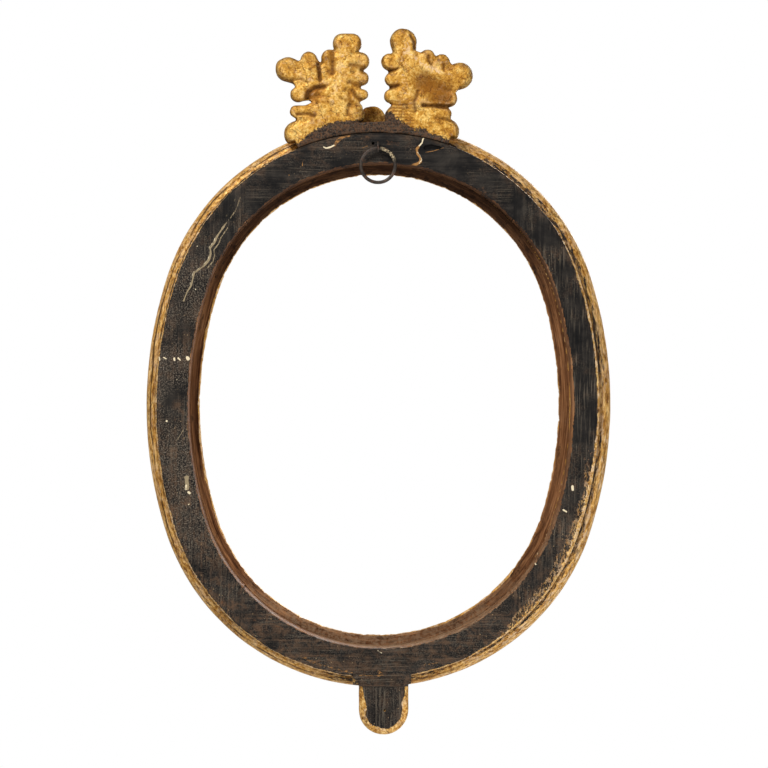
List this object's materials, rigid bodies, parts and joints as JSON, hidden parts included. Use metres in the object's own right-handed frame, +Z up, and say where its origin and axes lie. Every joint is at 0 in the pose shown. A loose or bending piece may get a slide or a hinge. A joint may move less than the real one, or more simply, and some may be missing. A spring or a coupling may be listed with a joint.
{
  "type": "oval picture frame",
  "caption": "Carved oval picture frame: half-lapped back boards with a rabbet, gilt front moulding, leaf crest, rounded pendant and an iron hanging ring.",
  "frame": {"origin": "centre of the oval opening, in the plane of the back that lies on the wall", "axes": "+Z up the wall, +Y from the back into the wall, the gilt face looks towards -Y, +X to the right seen from the front"},
  "size_m": [0.375, 0.046, 0.5618],
  "materials": {
    "black_back": "worn black paint on wood",
    "gilt_wood": "worn gilding on gesso and bole",
    "bare_wood": "bare aged wood",
    "wrought_iron": "dark forged wire"
  },
  "bodies": {
    "frame": {"left_stile": "black_back", "right_stile": "black_back", "top_rail": "black_back", "bottom_rail": "black_back", "lap_pegs": "bare_wood", "moulding_top_left": "gilt_wood", "moulding_top_right": "gilt_wood", "moulding_bottom_left": "gilt_wood", "moulding_bottom_right": "gilt_wood", "crest_left_leaf": "gilt_wood", "crest_right_leaf": "gilt_wood", "crest_boss": "bare_wood", "crest_dowels": "bare_wood", "pendant": "gilt_wood", "split_pin": "wrought_iron"},
    "ring": {"hanging_ring": "wrought_iron"}
  },
  "joints": [
    {"name": "ring_swing", "type": "hinge", "parent": "frame", "child": "ring", "pos_m": [0.0016, 0.0046, 0.2028], "axis": [1, 0, 0], "range_deg": [-12, 190]}
  ]
}
